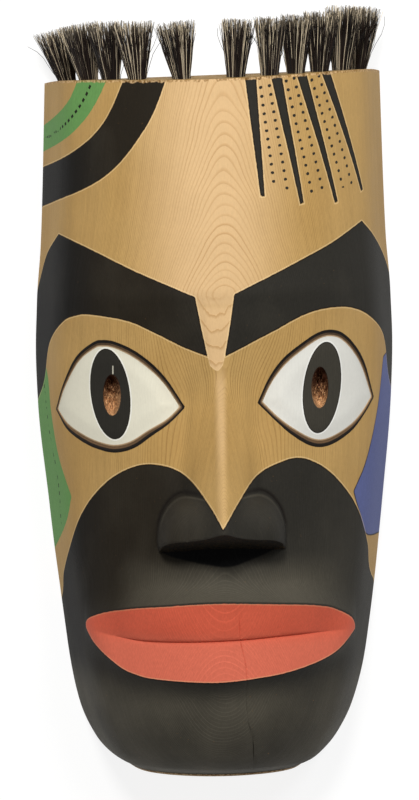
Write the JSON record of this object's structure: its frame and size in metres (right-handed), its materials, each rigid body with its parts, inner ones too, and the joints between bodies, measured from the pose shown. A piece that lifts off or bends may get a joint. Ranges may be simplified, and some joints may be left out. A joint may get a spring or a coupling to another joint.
{
  "type": "carved cedar mask",
  "caption": "Carved and painted cedar face mask, hollow behind, with bristle tufts set in drilled holes along its top end.",
  "frame": {"origin": "middle of the whole object's footprint, on the plane of the mask's back rim", "axes": "+Z out of the face, +Y to the top of the head and its tufts, +X to the viewer's right"},
  "size_m": [0.2086, 0.4412, 0.1379],
  "materials": {
    "painted_cedar": "satin",
    "bristle": "matte"
  },
  "bodies": {
    "root": {"mask": "painted_cedar", "tuft_01": "bristle", "tuft_02": "bristle", "tuft_03": "bristle", "tuft_04": "bristle", "tuft_05": "bristle", "tuft_06": "bristle", "tuft_07": "bristle", "tuft_08": "bristle", "tuft_09": "bristle", "tuft_10": "bristle", "tuft_11": "bristle"}
  },
  "joints": []
}
